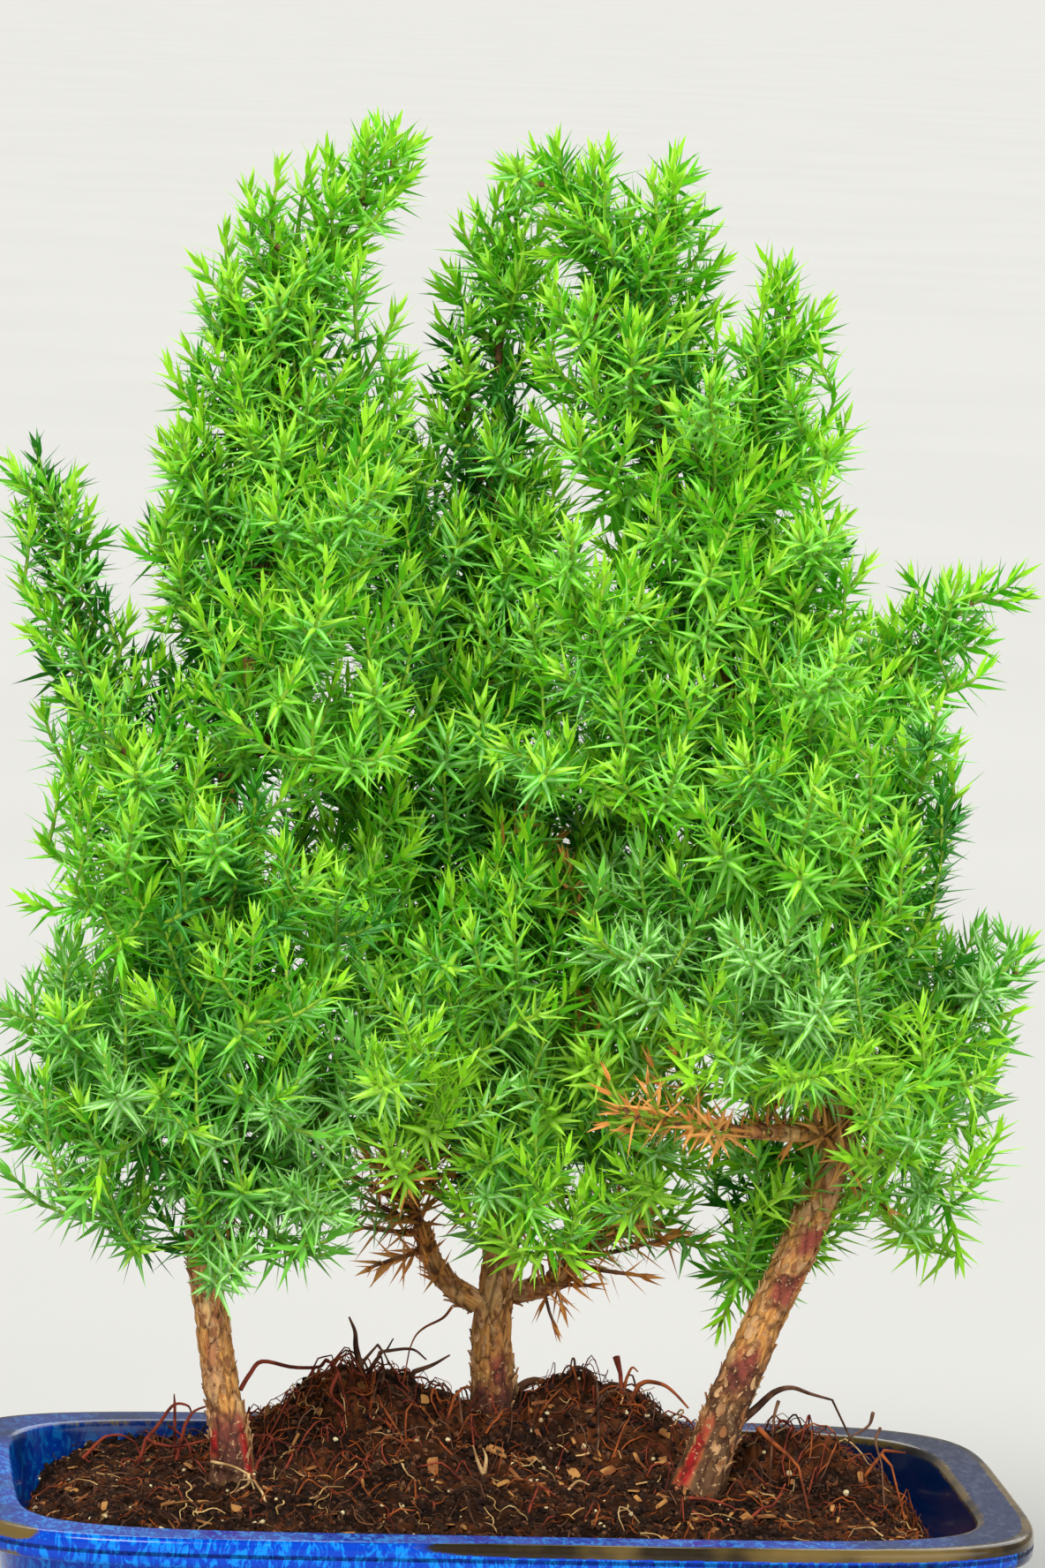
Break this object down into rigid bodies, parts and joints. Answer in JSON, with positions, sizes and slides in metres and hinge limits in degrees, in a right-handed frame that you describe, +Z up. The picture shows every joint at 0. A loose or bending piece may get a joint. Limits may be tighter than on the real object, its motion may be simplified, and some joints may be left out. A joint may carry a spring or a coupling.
{
  "type": "juniper forest bonsai",
  "caption": "Forest planting of young junipers in a shallow blue glazed tray pot, with bare lower trunks, upright plumes of needles and a mound of fibrous soil.",
  "frame": {"origin": "middle of the pot in plan, on the surface that its feet stand on", "axes": "+Z up, X along the pot's long side, the planting's front faces -Y"},
  "size_m": [0.2001, 0.1238, 0.3111],
  "materials": {
    "glaze": "glossy cobalt glaze",
    "soil": "matte, coarse fibrous mix",
    "bark": "matte flaking bark",
    "needles_bright": "satin needles, vivid green",
    "needles_mid": "satin needles, deep green",
    "needles_blue": "satin needles, bluish green",
    "needles_dead": "dry orange-brown needles"
  },
  "bodies": {
    "root": {"pot": "glaze", "soil": "soil", "left_trunk": "bark", "centre_trunk": "bark", "right_trunk": "bark", "centre_low_bough_left": "bark", "centre_low_bough_right": "bark", "right_dead_bough": "bark", "left_leader_tip": "needles_bright", "left_crown_tip": "needles_bright", "left_crown_left": "needles_bright", "left_upper_right": "needles_bright", "left_shoulder": "needles_bright", "left_plume": "needles_bright", "left_upper_front": "needles_bright", "left_wand": "needles_mid", "left_mid": "needles_bright", "left_low_front": "needles_mid", "left_lower_right": "needles_blue", "left_lower_left": "needles_blue", "left_lowest_left": "needles_blue", "left_lowest_right": "needles_blue", "left_upper_back": "needles_mid", "left_low_back": "needles_mid", "centre_leader_tip": "needles_bright", "centre_crown_left": "needles_bright", "centre_crown_right": "needles_bright", "centre_upper_left": "needles_mid", "centre_upper_front": "needles_bright", "centre_mid_left": "needles_mid", "centre_mid_right": "needles_mid", "centre_mid_front": "needles_mid", "centre_plume_left": "needles_bright", "centre_plume_right": "needles_bright", "centre_low_front": "needles_bright", "centre_low_drop": "needles_blue", "centre_low_right": "needles_blue", "centre_upper_back": "needles_mid", "centre_low_back": "needles_mid", "centre_tuft_left": "needles_dead", "centre_tuft_right": "needles_dead", "right_bent_tip": "needles_bright", "right_crown_tip": "needles_bright", "right_crown_left": "needles_bright", "right_upper": "needles_bright", "right_upper_front": "needles_bright", "right_shoulder": "needles_bright", "right_long_left": "needles_bright", "right_far": "needles_bright", "right_mid_front": "needles_bright", "right_mid": "needles_mid", "right_lower": "needles_blue", "right_drop": "needles_blue", "right_low_left": "needles_blue", "right_lower_left": "needles_blue", "right_drop_left": "needles_mid", "right_upper_back": "needles_mid", "right_mid_back": "needles_mid", "right_low_back": "needles_blue", "right_dead_spray": "needles_dead"}
  },
  "joints": []
}
